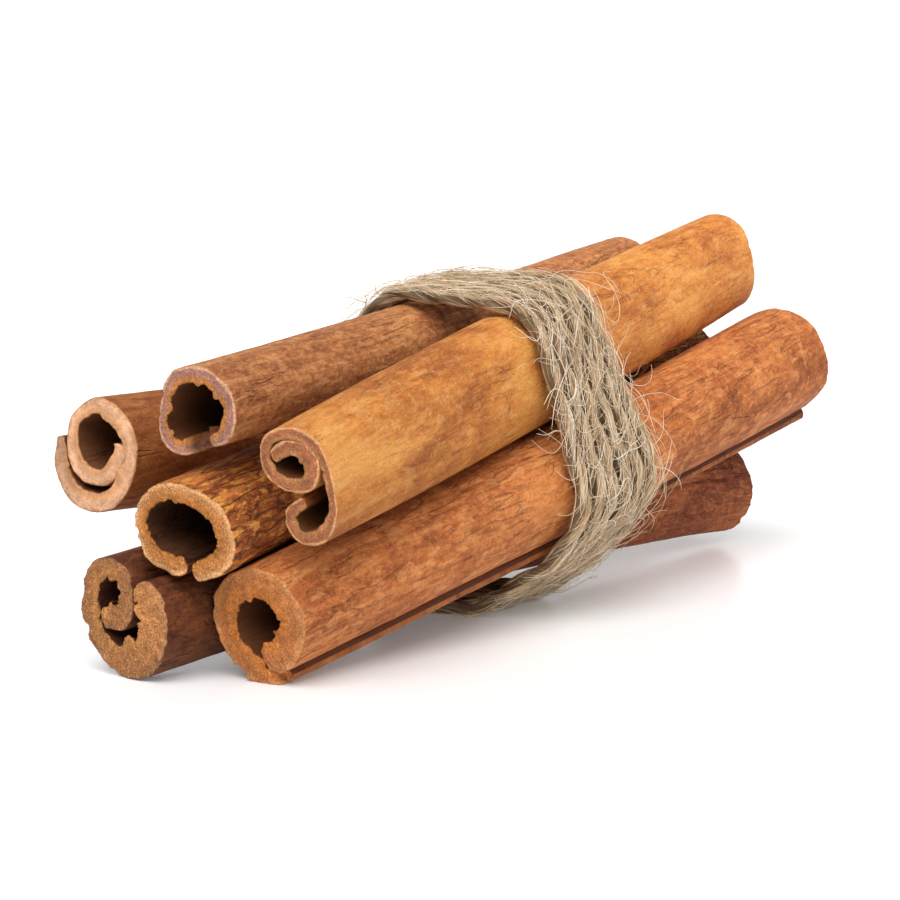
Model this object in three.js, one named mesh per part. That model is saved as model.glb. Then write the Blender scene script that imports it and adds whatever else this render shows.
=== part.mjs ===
// A bundle of six cinnamon sticks, tied round the middle with six turns of jute twine.
// Millimetres, +Z up. The sticks lie along X, with their open cut ends at -X, and the
// bundle rests on Z = 0: on the front ends of two sticks and on the twine under them.
import * as THREE from 'three';
import { mergeVertices } from 'three/addons/utils/BufferGeometryUtils.js';

// ---------- Driving dimensions ----------

const TWINE_DIAMETER = 1.7;
const TWINE_SIDES = 8;
const STEPS_PER_TURN = 28;
const TWINE_TURNS = 6;
const TWINE_CLEARANCE = 0.5;

// The middle of the tied band, and how far it waves along X round the bundle.
const BAND_MIDDLE = [-3.4, -0.15, 16.5];
const BAND_WAVE = 1.6;
const BAND_WAVE_ANGLE = THREE.MathUtils.degToRad(-26);

// The turns lie closer together on top of the bundle than under it.
const TWINE_PITCH = 2.35;
const PITCH_SPREAD = 0.28;
const PITCH_SPREAD_ANGLE = THREE.MathUtils.degToRad(-75);

// Low on the left there is a valley between sticks a and e, where both ends are tucked in.
const VALLEY_ANGLE = THREE.MathUtils.degToRad(-126);
const VALLEY_HALF_ANGLE = THREE.MathUtils.degToRad(7);
const TUCK_DEPTH = 2.0;
const TUCK_STEPS = 3;

// Low on the right the turns hang a little slack and pass through these points, [y, z].
const SLACK_POINTS = [[-10.55, 4.9], [-6.85, 2.3]];

const STICK_STEPS = 4;
const SAMPLES_PER_STATION = 4;
const END_ROUNDING = 0.6;
const ROUTE_PASSES = 3;

// Each stick is a strip of bark that dried into a roll. `front` and `far` are the ends of
// its axis and `bow` is how far the middle is pushed aside, [right, up]. `girth` is how
// thick its middle and its far end are, against the front end. `strip` follows the middle
// of the bark round the roll, as seen from the front end: [right, up, thickness].
const STICKS = [
  {
    name: 'stick_a',
    colour: 0xc98f5f,
    front: [-46.4, 13.25, 19.9],
    far: [53.1, 7.8, 12.3],
    bow: [-1.35, 1.05],
    girth: [1.02, 0.99],
    strip: [
      [-4.95, 1.1, 1.0], [-4.75, -1.5, 1.75], [-2.5, -4.2, 1.85], [1.6, -4.4, 2.0],
      [4.1, -1.3, 1.75], [3.65, 2.3, 1.9], [0.1, 4.75, 1.75], [-3.05, 3.1, 1.35],
      [-3.15, 0.5, 1.5], [-1.75, -1.65, 1.5], [0.85, -2.05, 1.45], [2.3, -0.1, 1.2],
      [2.15, 1.0, 0.8],
    ],
  },
  {
    name: 'stick_b',
    colour: 0xb47a4c,
    front: [-51, -2.85, 25.8],
    far: [47.9, 9.2, 31],
    bow: [0.05, -0.4],
    girth: [0.99, 1.0],
    strip: [
      [1.5, -2.7, 1.4], [2.7, -2.05, 1.5], [3.15, 0.9, 1.45], [0.9, 3.2, 1.65],
      [-2.4, 2.9, 1.5], [-4.0, -1.5, 0.95], [-3.5, -2.95, 1.3], [-2.3, -3.6, 1.5],
      [0.45, -2.85, 1.3],
    ],
  },
  {
    name: 'stick_c',
    colour: 0xce8a45,
    front: [-49.7, -13.25, 19.4],
    far: [46.6, -5.25, 33.05],
    bow: [0.15, 0.1],
    girth: [1.1, 0.99],
    strip: [
      [0.25, -1.45, 1.1], [-1.2, -2.85, 1.3], [-0.25, -4.75, 1.3], [2.1, -4.4, 1.5],
      [3.45, -1.9, 1.0], [2.3, 3.85, 1.05], [-0.1, 5.15, 1.15], [-2.95, 4.15, 1.25],
      [-3.2, 1.6, 1.3], [-1.4, 0.2, 1.5], [0.95, 0.5, 1.4], [1.2, 2.65, 1.15],
      [-0.65, 3.55, 1.35], [-2.35, 2.7, 0.8],
    ],
  },
  {
    name: 'stick_d',
    colour: 0xb06a3c,
    front: [-52.1, -1.55, 14.75],
    far: [45.7, 0.95, 22.1],
    bow: [-0.8, 0.9],
    girth: [0.95, 1.0],
    strip: [
      [1.5, -4.0, 1.9], [3.0, -3.45, 2.1], [4.3, -2.5, 2.2], [4.95, -1.05, 2.2],
      [3.8, 1.85, 2.1], [0.35, 3.3, 1.85], [-1.6, 3.45, 1.7], [-3.15, 2.9, 1.7],
      [-4.4, 1.7, 1.7], [-4.9, 0.3, 1.65], [-4.6, -1.1, 1.65], [-3.9, -2.5, 1.85],
      [-1.2, -3.5, 1.9], [-0.1, -3.4, 1.3],
    ],
  },
  {
    name: 'stick_e',
    colour: 0x94562f,
    front: [-53, 4.75, 5.35],
    far: [44.4, -5.8, 6.4],
    bow: [0.45, 1.6],
    girth: [1.01, 1.0],
    strip: [
      [-2.6, -0.55, 0.8], [-2.0, -0.3, 1.4], [-0.6, 0.2, 2.0], [0.0, 1.2, 2.0],
      [0.05, 2.9, 1.85], [-0.6, 4.35, 2.0], [-2.5, 4.95, 2.1], [-4.0, 4.1, 2.1],
      [-4.8, 1.9, 2.2], [-4.35, -0.85, 2.2], [-2.6, -2.9, 2.2], [-0.5, -3.9, 2.7],
      [1.9, -3.35, 3.2], [3.45, -1.4, 3.4], [3.75, 0.5, 3.3], [3.2, 2.5, 3.2],
      [2.7, 3.6, 2.3],
    ],
  },
  {
    name: 'stick_f',
    colour: 0xbd7040,
    front: [-48.3, -7.75, 5.8],
    far: [48.7, -12.1, 21.3],
    bow: [2.35, 0.7],
    girth: [1.08, 1.18],
    strip: [
      [0.5, -3.2, 2.7], [1.7, -2.8, 3.0], [2.9, -1.85, 3.2], [3.65, 0.0, 3.3],
      [3.3, 1.8, 3.3], [1.75, 3.5, 3.2], [-0.5, 4.0, 2.8], [-2.1, 3.5, 2.75],
      [-3.8, 2.1, 2.8], [-4.45, 0.2, 2.75], [-4.1, -2.1, 2.8], [-2.6, -3.9, 2.7],
      [-1.3, -5.1, 1.9], [-0.2, -5.55, 1.15], [1.9, -5.15, 0.9],
    ],
  },
];

const BARK_ROUGHNESS = 0.85;
const TWINE_COLOUR = 0xb9a684;
const TWINE_ROUGHNESS = 0.95;

// ---------- A stick's section and axis ----------

// Half an ellipse of points that rounds off the bark's edge at one end of the strip.
function roundedEdge(centre, outward, side, halfThickness) {
  const points = [];
  for (const degrees of [60, 20, -20, -60]) {
    const angle = THREE.MathUtils.degToRad(degrees);
    points.push(centre.clone()
      .addScaledVector(outward, Math.cos(angle) * halfThickness * END_ROUNDING)
      .addScaledVector(side, Math.sin(angle) * halfThickness));
  }
  return points;
}

// The closed outline of a strip of bark: up one face, round the edge and back on the other.
function stripOutline(strip) {
  const spine = new THREE.CatmullRomCurve3(
    strip.map(([right, up, thickness]) => new THREE.Vector3(right, up, thickness)),
    false,
    'centripetal',
  );
  const stations = spine.getPoints((strip.length - 1) * SAMPLES_PER_STATION);
  const middle = stations.map((station) => new THREE.Vector2(station.x, station.y));
  const half = stations.map((station) => station.z / 2);
  const last = middle.length - 1;
  const heading = middle.map((point, i) => middle[Math.min(i + 1, last)].clone()
    .sub(middle[Math.max(i - 1, 0)])
    .normalize());
  const side = heading.map((direction) => new THREE.Vector2(-direction.y, direction.x));
  const left = middle.map((point, i) => point.clone().addScaledVector(side[i], half[i]));
  const right = middle.map((point, i) => point.clone().addScaledVector(side[i], -half[i]));
  const backward = heading[0].clone().negate();
  const turnedSide = side[0].clone().negate();
  return [
    ...left,
    ...roundedEdge(middle[last], heading[last], side[last], half[last]),
    ...right.reverse(),
    ...roundedEdge(middle[0], backward, turnedSide, half[0]),
  ];
}

// The stick's own frame: x to the right and y up as seen from the front, z towards it.
function stickFrame(stick) {
  const front = new THREE.Vector3(...stick.front);
  const far = new THREE.Vector3(...stick.far);
  const towardsFront = front.clone().sub(far);
  const length = towardsFront.length();
  towardsFront.normalize();
  const right = new THREE.Vector3(0, 0, 1).cross(towardsFront).normalize();
  const up = towardsFront.clone().cross(right);
  return { far, right, up, towardsFront, length };
}

// How far the stick's middle line is off its straight axis, a share of the way along it.
function bowAt(stick, share) {
  const amount = 4 * share * (1 - share);
  return stick.bow.map((push) => push * amount);
}

// How thick the stick is there, against its front end.
function girthAt(stick, share) {
  const [middle, far] = stick.girth;
  const tapered = THREE.MathUtils.lerp(far, 1, share);
  return tapered + (middle - (1 + far) / 2) * 4 * share * (1 - share);
}

// ---------- Solids ----------

// Presses whatever would sink below the surface flat against it.
function flattenUnderside(mesh) {
  mesh.updateMatrixWorld(true);
  const back = mesh.matrixWorld.clone().invert();
  const position = mesh.geometry.getAttribute('position');
  const vertex = new THREE.Vector3();
  for (let i = 0; i < position.count; i += 1) {
    vertex.fromBufferAttribute(position, i).applyMatrix4(mesh.matrixWorld);
    if (vertex.z < 0) {
      vertex.z = 0;
      vertex.applyMatrix4(back);
      position.setXYZ(i, vertex.x, vertex.y, vertex.z);
    }
  }
}

function solidMesh(name, geometry, colour, roughness) {
  geometry.deleteAttribute('normal');
  geometry.deleteAttribute('uv');
  const closed = mergeVertices(geometry, 1e-4);
  closed.computeVertexNormals();
  const material = new THREE.MeshStandardMaterial({ color: colour, roughness, metalness: 0 });
  const mesh = new THREE.Mesh(closed, material);
  mesh.name = name;
  return mesh;
}

function makeStick(stick) {
  const frame = stickFrame(stick);
  const shape = new THREE.Shape(stripOutline(stick.strip));
  const geometry = new THREE.ExtrudeGeometry(shape, {
    depth: frame.length,
    steps: STICK_STEPS,
    bevelEnabled: false,
  });
  const position = geometry.getAttribute('position');
  for (let i = 0; i < position.count; i += 1) {
    const share = position.getZ(i) / frame.length;
    const girth = girthAt(stick, share);
    const [right, up] = bowAt(stick, share);
    position.setX(i, position.getX(i) * girth + right);
    position.setY(i, position.getY(i) * girth + up);
  }
  const mesh = solidMesh(stick.name, geometry, stick.colour, BARK_ROUGHNESS);
  const basis = new THREE.Matrix4().makeBasis(frame.right, frame.up, frame.towardsFront);
  mesh.quaternion.setFromRotationMatrix(basis);
  mesh.position.copy(frame.far);
  flattenUnderside(mesh);
  return mesh;
}

// ---------- The twine's route ----------

const outlines = STICKS.map((stick) => ({
  stick,
  frame: stickFrame(stick),
  outline: stripOutline(stick.strip),
}));

// The point of the bundle's section at x that lies furthest out in one direction.
function furthestPoint(x, direction) {
  const points = SLACK_POINTS.map(([y, z]) => new THREE.Vector3(x, y, z));
  for (const { stick, frame, outline } of outlines) {
    const fromFar = (x - frame.far.x) / frame.towardsFront.x;
    const girth = girthAt(stick, fromFar / frame.length);
    const [bowRight, bowUp] = bowAt(stick, fromFar / frame.length);
    for (const corner of outline) {
      points.push(frame.far.clone()
        .addScaledVector(frame.towardsFront, fromFar)
        .addScaledVector(frame.right, corner.x * girth + bowRight)
        .addScaledVector(frame.up, corner.y * girth + bowUp));
    }
  }
  const reach = points.map((point) => point.dot(direction));
  const best = points[reach.indexOf(Math.max(...reach))];
  return new THREE.Vector3(x, best.y, best.z);
}

// Square outwards from the bundle: angle 0 is to the right, a quarter turn is up.
function outwardAt(angle) {
  return new THREE.Vector3(0, -Math.cos(angle), Math.sin(angle));
}

// Where along X the twine is when it has gone `around` from the bundle's right side.
function bandX(around) {
  const turnsDone = (around - VALLEY_ANGLE) / (2 * Math.PI);
  const middleTurn = TWINE_TURNS / 2 - VALLEY_ANGLE / (2 * Math.PI) - 0.5;
  const middle = BAND_MIDDLE[0] + BAND_WAVE * Math.cos(2 * (around - BAND_WAVE_ANGLE));
  const pitch = TWINE_PITCH + PITCH_SPREAD * Math.cos(around - PITCH_SPREAD_ANGLE);
  return middle + (turnsDone - middleTurn) * pitch;
}

// How far a point has gone round the band's middle line, in the turn nearest to `angle`.
function aroundMiddle(point, angle) {
  const [, middleY, middleZ] = BAND_MIDDLE;
  const polar = Math.atan2(point.z - middleZ, middleY - point.y);
  return angle + THREE.MathUtils.euclideanModulo(polar - angle + Math.PI, 2 * Math.PI) - Math.PI;
}

// The point of the twine's centre line where the bundle's outside faces `angle`.
function twinePoint(angle) {
  const outward = outwardAt(angle);
  let around = angle;
  let point;
  for (let pass = 0; pass < ROUTE_PASSES; pass += 1) {
    point = furthestPoint(bandX(around), outward)
      .addScaledVector(outward, TWINE_DIAMETER / 2 + TWINE_CLEARANCE);
    around = aroundMiddle(point, angle);
  }
  point.x = bandX(around);
  return point;
}

// The points that lead from the last contact into the valley at one end of the twine.
function tuckedEnd(angle, contact) {
  const valley = twinePoint(angle - VALLEY_HALF_ANGLE)
    .lerp(twinePoint(angle + VALLEY_HALF_ANGLE), 0.5);
  const inward = outwardAt(angle).negate();
  const points = [];
  for (let i = 1; i <= TUCK_STEPS; i += 1) {
    const share = i / TUCK_STEPS;
    points.push(contact.clone()
      .lerp(valley, share)
      .addScaledVector(inward, TUCK_DEPTH * share * share));
  }
  return points;
}

// The twine's centre line: out of the valley, round turn after turn, and back into it.
function twineRoute() {
  const steps = TWINE_TURNS * STEPS_PER_TURN;
  const lastAngle = VALLEY_ANGLE + TWINE_TURNS * 2 * Math.PI;
  const from = VALLEY_ANGLE + VALLEY_HALF_ANGLE;
  const to = lastAngle - VALLEY_HALF_ANGLE;
  const turns = [];
  for (let i = 0; i <= steps; i += 1) {
    turns.push(twinePoint(THREE.MathUtils.lerp(from, to, i / steps)));
  }
  return [
    ...tuckedEnd(VALLEY_ANGLE, turns[0]).reverse(),
    ...turns,
    ...tuckedEnd(lastAngle, turns[steps]),
  ];
}

function makeTwine() {
  const points = twineRoute();
  const route = new THREE.CatmullRomCurve3(points, false, 'centripetal');
  // The sections stand at the route's own points, which lie close together at the corners.
  route.getUtoTmapping = (share) => share;
  const circle = new THREE.Shape();
  circle.absarc(0, 0, TWINE_DIAMETER / 2, 0, 2 * Math.PI);
  // An arc gives two points for each division asked of it.
  const section = new THREE.Shape(circle.getPoints(TWINE_SIDES / 2));
  const geometry = new THREE.ExtrudeGeometry(section, {
    steps: points.length - 1,
    bevelEnabled: false,
    extrudePath: route,
  });
  const mesh = solidMesh('twine', geometry, TWINE_COLOUR, TWINE_ROUGHNESS);
  flattenUnderside(mesh);
  return mesh;
}

// ---------- The bundle ----------

const group = new THREE.Group();
group.name = 'cinnamon_stick_bundle';
for (const stick of STICKS) {
  group.add(makeStick(stick));
}
group.add(makeTwine());

export default group;
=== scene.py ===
"""A bundle of six cinnamon sticks, tied round the middle with jute twine.

Each stick is one strip of bark that dried into a roll, and the twine is one length wound
six times round them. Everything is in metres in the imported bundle's frame: +X runs along
the sticks from their open front ends, +Z is up, and the bundle lies on Z = 0. Sizes below
are in millimetres unless they say otherwise, and MM turns them into metres.
"""

import math

import bpy
import numpy as np
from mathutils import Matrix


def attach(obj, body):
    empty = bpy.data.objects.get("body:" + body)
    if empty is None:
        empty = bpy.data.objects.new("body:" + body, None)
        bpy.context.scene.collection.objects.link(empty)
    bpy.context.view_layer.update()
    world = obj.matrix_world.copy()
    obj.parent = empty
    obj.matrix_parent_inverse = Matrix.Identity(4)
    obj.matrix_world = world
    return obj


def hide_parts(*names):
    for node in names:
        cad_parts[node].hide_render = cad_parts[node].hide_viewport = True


MM = 0.001

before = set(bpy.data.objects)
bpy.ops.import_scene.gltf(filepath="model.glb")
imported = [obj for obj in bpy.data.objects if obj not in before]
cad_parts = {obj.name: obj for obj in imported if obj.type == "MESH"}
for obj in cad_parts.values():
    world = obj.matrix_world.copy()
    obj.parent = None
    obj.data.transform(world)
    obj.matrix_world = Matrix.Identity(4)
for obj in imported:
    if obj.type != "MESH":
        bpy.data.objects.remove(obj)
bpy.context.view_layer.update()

# ---------------------------------------------------------------- the bundle's sizes

# front and far are the ends of a stick's axis, and bow is how far its middle is pushed
# aside, (right, up) as seen from the front. girth is how thick its middle and its far end
# are, against the front end. strip follows the middle of the bark round the roll, seen
# from the front: (right, up, thickness).
STICKS = {
    "a": dict(
        front=(-46.4, 13.25, 19.9), far=(53.1, 7.8, 12.3), bow=(-1.35, 1.05), girth=(1.02, 0.99),
        strip=[
            (-4.95, 1.1, 1.0), (-4.75, -1.5, 1.75), (-2.5, -4.2, 1.85), (1.6, -4.4, 2.0),
            (4.1, -1.3, 1.75), (3.65, 2.3, 1.9), (0.1, 4.75, 1.75), (-3.05, 3.1, 1.35),
            (-3.15, 0.5, 1.5), (-1.75, -1.65, 1.5), (0.85, -2.05, 1.45), (2.3, -0.1, 1.2),
            (2.15, 1.0, 0.8),
        ],
    ),
    "b": dict(
        front=(-51, -2.85, 25.8), far=(47.9, 9.2, 31), bow=(0.05, -0.4), girth=(0.99, 1.0),
        strip=[
            (1.5, -2.7, 1.4), (2.7, -2.05, 1.5), (3.15, 0.9, 1.45), (0.9, 3.2, 1.65),
            (-2.4, 2.9, 1.5), (-4.0, -1.5, 0.95), (-3.5, -2.95, 1.3), (-2.3, -3.6, 1.5),
            (0.45, -2.85, 1.3),
        ],
    ),
    "c": dict(
        front=(-49.7, -13.25, 19.4), far=(46.6, -5.25, 33.05), bow=(0.15, 0.1), girth=(1.1, 0.99),
        strip=[
            (0.25, -1.45, 1.1), (-1.2, -2.85, 1.3), (-0.25, -4.75, 1.3), (2.1, -4.4, 1.5),
            (3.45, -1.9, 1.0), (2.3, 3.85, 1.05), (-0.1, 5.15, 1.15), (-2.95, 4.15, 1.25),
            (-3.2, 1.6, 1.3), (-1.4, 0.2, 1.5), (0.95, 0.5, 1.4), (1.2, 2.65, 1.15),
            (-0.65, 3.55, 1.35), (-2.35, 2.7, 0.8),
        ],
    ),
    "d": dict(
        front=(-52.1, -1.55, 14.75), far=(45.7, 0.95, 22.1), bow=(-0.8, 0.9), girth=(0.95, 1.0),
        strip=[
            (1.5, -4.0, 1.9), (3.0, -3.45, 2.1), (4.3, -2.5, 2.2), (4.95, -1.05, 2.2),
            (3.8, 1.85, 2.1), (0.35, 3.3, 1.85), (-1.6, 3.45, 1.7), (-3.15, 2.9, 1.7),
            (-4.4, 1.7, 1.7), (-4.9, 0.3, 1.65), (-4.6, -1.1, 1.65), (-3.9, -2.5, 1.85),
            (-1.2, -3.5, 1.9), (-0.1, -3.4, 1.3),
        ],
    ),
    "e": dict(
        front=(-53, 4.75, 5.35), far=(44.4, -5.8, 6.4), bow=(0.45, 1.6), girth=(1.01, 1.0),
        strip=[
            (-2.6, -0.55, 0.8), (-2.0, -0.3, 1.4), (-0.6, 0.2, 2.0), (0.0, 1.2, 2.0),
            (0.05, 2.9, 1.85), (-0.6, 4.35, 2.0), (-2.5, 4.95, 2.1), (-4.0, 4.1, 2.1),
            (-4.8, 1.9, 2.2), (-4.35, -0.85, 2.2), (-2.6, -2.9, 2.2), (-0.5, -3.9, 2.7),
            (1.9, -3.35, 3.2), (3.45, -1.4, 3.4), (3.75, 0.5, 3.3), (3.2, 2.5, 3.2),
            (2.7, 3.6, 2.3),
        ],
    ),
    "f": dict(
        front=(-48.3, -7.75, 5.8), far=(48.7, -12.1, 21.3), bow=(2.35, 0.7), girth=(1.08, 1.18),
        strip=[
            (0.5, -3.2, 2.7), (1.7, -2.8, 3.0), (2.9, -1.85, 3.2), (3.65, 0.0, 3.3),
            (3.3, 1.8, 3.3), (1.75, 3.5, 3.2), (-0.5, 4.0, 2.8), (-2.1, 3.5, 2.75),
            (-3.8, 2.1, 2.8), (-4.45, 0.2, 2.75), (-4.1, -2.1, 2.8), (-2.6, -3.9, 2.7),
            (-1.3, -5.1, 1.9), (-0.2, -5.55, 1.15), (1.9, -5.15, 0.9),
        ],
    ),
}
END_ROUNDING = 0.6

# How each stick's surface is worn. relief scales the skin's waviness, cracks is how many
# lengthwise cracks it has and crumble is how ragged its cut ends are. Places along the
# strip are given by the number of its point, so 7.5 is halfway from point 7 to point 8.
# breaks are places where the front edge has broken back: (place, half width, depth).
# swells are places where the bark is thicker, or thinner under zero: (place, half width,
# inwards, outwards). A crack is at most CRACK_DEPTH deep, the ends' raggedness fades over
# RAGGED_REACH, and the cut's edges are rounded by EDGE_RADIUS.
WEAR = {
    "a": dict(relief=0.8, cracks=2, crumble=0.5, breaks=[],
              swells=[(8.6, 2.2, 0.0, 0.34), (11.0, 2.0, 0.0, 0.7), (3.8, 1.7, 0.35, 0.0),
                      (12.0, 1.0, -0.4, 0.3)]),
    "b": dict(relief=1.1, cracks=3, crumble=0.95, breaks=[(7.8, 1.25, 2.6)], swells=[]),
    "c": dict(relief=0.6, cracks=1, crumble=0.65, breaks=[],
              swells=[(11.0, 2.1, 0.0, 0.52), (5.4, 2.4, 0.25, 0.0), (12.9, 1.2, 0.15, 0.4)]),
    "d": dict(relief=1.2, cracks=4, crumble=1.0, breaks=[], swells=[(12.9, 0.9, -0.3, 0.25)]),
    "e": dict(relief=1.3, cracks=5, crumble=1.3, breaks=[],
              swells=[(15.2, 1.7, 0.85, 0.0), (4.1, 1.5, 0.0, 0.14), (1.2, 1.1, 1.1, 0.0),
                      (2.3, 0.9, 0.6, 0.0), (11.2, 2.0, 0.55, 0.0)]),
    "f": dict(relief=1.2, cracks=9, crumble=1.0, breaks=[(14.7, 1.2, 0.9)],
              swells=[(13.4, 1.8, 0.45, 0.12), (0.4, 1.5, 0.0, 0.26), (12.0, 1.4, 0.75, 0.0)]),
}
CRACK_DEPTH = 0.24
RAGGED_REACH = 0.8
EDGE_RADIUS = 0.15

# The twine. Its band waves along X as it goes round, and its turns lie closer together on
# top of the bundle than under it. Angles go round from the right side, up and over. At
# VALLEY_ANGLE both ends are tucked in, TUCK_DEPTH deep. SLACK_POINTS, (y, z), are where
# the turns hang free between two sticks.
TWINE_DIAMETER = 1.7
TWINE_TURNS = 6
TWINE_CLEARANCE = 0.5
BAND_MIDDLE = (-3.4, -0.15, 16.5)
BAND_WAVE = 1.6
BAND_WAVE_ANGLE = math.radians(-26)
TWINE_PITCH = 2.35
PITCH_SPREAD = 0.28
PITCH_SPREAD_ANGLE = math.radians(-75)
VALLEY_ANGLE = math.radians(-126)
VALLEY_HALF_ANGLE = math.radians(7)
TUCK_DEPTH = 2.0
SLACK_POINTS = np.array([(-10.55, 4.9), (-6.85, 2.3)])
# The twine is two plies laid round each other, once round in TWIST_LENGTH. PLY_RADIUS is a
# ply's own radius and PLY_OFFSET how far its middle is from the twine's.
PLY_RADIUS = 0.58
PLY_OFFSET = 0.30
TWIST_LENGTH = 10.0

# ---------------------------------------------------------------- arrays and noise


def smooth(value, low=0.0, high=1.0):
    """0 below low, 1 above high, and an S-shaped rise between them."""
    t = np.clip((value - low) / (high - low), 0.0, 1.0)
    return t * t * (3.0 - 2.0 * t)


def scrambled(ix, iy, iz, seed):
    """A repeatable number in -1..1 for each whole-number point, by mixing its digits."""
    n = (ix * 374761393 + iy * 668265263 + iz * 1442695041 + seed * 1274126177) & 0xFFFFFFFF
    n = ((n ^ (n >> 13)) * 1274126177) & 0xFFFFFFFF
    return ((n ^ (n >> 16)) & 0xFFFFFF) / 0x7FFFFF - 1.0


def noise(x, y, z, seed):
    """Value noise: the scrambled numbers at a cell's eight corners, blended smoothly."""
    x, y, z = np.broadcast_arrays(x, y, z)
    cell = [np.floor(v).astype(np.int64) for v in (x, y, z)]
    blend = [smooth(v - c) for v, c in zip((x, y, z), cell)]
    total = np.zeros(x.shape)
    for corner in range(8):
        step = [(corner >> k) & 1 for k in range(3)]
        weight = np.ones(x.shape)
        for k in range(3):
            weight = weight * (blend[k] if step[k] else 1.0 - blend[k])
        total += weight * scrambled(cell[0] + step[0], cell[1] + step[1], cell[2] + step[2], seed)
    return total


def fractal(x, y, z, octaves, seed):
    """Noise plus its copies at twice the pitch and half the height, scaled to about -1..1."""
    total = 0.0
    height = 0.5
    for k in range(octaves):
        total = total + height * noise(x * 2.0**k, y * 2.0**k, z * 2.0**k, seed + k)
        height *= 0.5
    return total


def unit(vectors):
    """The same directions at length one."""
    return vectors / np.maximum(np.linalg.norm(vectors, axis=-1, keepdims=True), 1e-12)


def crowded(count, pull):
    """Steps from 0 to 1 that a sine wave pulls together near both ends."""
    share = np.linspace(0.0, 1.0, count)
    return share - pull * np.sin(2 * np.pi * share) / (2 * np.pi)


def through(points, steps):
    """A smooth line through the points, `steps` samples to each gap: in each gap a cubic
    whose end slopes come from the points either side, weighted by the square root of
    their distances, so that it doesn't overshoot at close points."""
    points = np.asarray(points, float)
    padded = np.vstack([2 * points[0] - points[1], points, 2 * points[-1] - points[-2]])
    gap = np.linalg.norm(np.diff(padded, axis=0), axis=1) ** 0.5
    before, here, after = (gap[k : k + len(points) - 1, None] for k in range(3))
    p0, p1, p2, p3 = (padded[k : k + len(points) - 1] for k in range(4))
    leave = (p1 - p0) / before - (p2 - p0) / (before + here) + (p2 - p1) / here
    arrive = (p2 - p1) / here - (p3 - p1) / (here + after) + (p3 - p2) / after
    t = (np.arange(steps) / steps)[None, :, None]
    a, b, m, n = (v[:, None, :] for v in (p1, p2, leave * here, arrive * here))
    curve = (
        (2 * t**3 - 3 * t**2 + 1) * a
        + (t**3 - 2 * t**2 + t) * m
        + (-2 * t**3 + 3 * t**2) * b
        + (t**3 - t**2) * n
    )
    return np.vstack([curve.reshape(-1, points.shape[1]), points[-1:]])


def along(points):
    """Distance travelled along a chain of points, up to each of them."""
    return np.concatenate([[0.0], np.cumsum(np.linalg.norm(np.diff(points, axis=0), axis=1))])


def evenly(points, places):
    """The chain of points read off at the given distances along it."""
    travelled = along(points)
    return np.stack([np.interp(places, travelled, column) for column in points.T], -1)


# ---------------------------------------------------------------- making meshes


def add_piece(name, vertices, faces, attributes, material, nodes, slot):
    """A mesh of these vertices (millimetres) and faces, with its attributes and the given
    material, that stands for the named CAD nodes and rides on the bundle. slot is not used."""
    mesh = bpy.data.meshes.new(name)
    mesh.from_pydata((vertices * MM).tolist(), [], faces)
    for label, values in attributes.items():
        kind, field = ("FLOAT_VECTOR", "vector") if values.ndim == 2 else ("FLOAT", "value")
        layer = mesh.attributes.new(label, kind, "POINT")
        layer.data.foreach_set(field, values.astype(np.float32).ravel())
    mesh.shade_smooth()
    mesh.materials.append(material)
    mesh.update()
    piece = bpy.data.objects.new(name, mesh)
    bpy.context.scene.collection.objects.link(piece)
    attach(piece, "root")
    if nodes:
        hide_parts(*nodes)


def slab(nu, nv, nw):
    """The skin of a block of nu x nv x nw grid points. Returns the grid places of the skin's
    points and its faces, joined at the block's edges. Each pair of sheets is gone over in
    the order (next axis, the one after), which faces up its own axis, and the lower sheet
    of the pair is turned round, so that all faces face out."""
    place = np.indices((nu, nv, nw)).reshape(3, -1)
    last = np.array([nu - 1, nv - 1, nw - 1])[:, None]
    on_skin = ((place == 0) | (place == last)).any(axis=0)
    number = np.full(nu * nv * nw, -1)
    number[on_skin] = np.arange(on_skin.sum())
    number = number.reshape(nu, nv, nw)
    faces = []
    for axis in range(3):
        turned = number.transpose(axis, (axis + 1) % 3, (axis + 2) % 3)
        for sheet, order in ((turned[0], -1), (turned[-1], 1)):
            corners = [sheet[:-1, :-1], sheet[1:, :-1], sheet[1:, 1:], sheet[:-1, 1:]]
            faces.append(np.stack(corners, -1).reshape(-1, 4)[:, ::order])
    return place[:, on_skin], np.vstack(faces).tolist()


# ---------------------------------------------------------------- sticks


def stick_frame(stick):
    """Far end, the directions right, up and towards the front, and the length of a stick."""
    front, far = np.array(stick["front"]), np.array(stick["far"])
    length = np.linalg.norm(front - far)
    forward = (front - far) / length
    right = unit(np.cross((0, 0, 1), forward))
    return far, right, np.cross(forward, right), forward, length


def girth_at(stick, share):
    """How thick the stick is against its front end, `share` of the way from its far end:
    an even taper from end to end, plus an arch that gives the middle its own size."""
    middle, far = stick["girth"]
    tapered = far + (1 - far) * share
    return tapered + (middle - (1 + far) / 2) * 4 * share * (1 - share)


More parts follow.
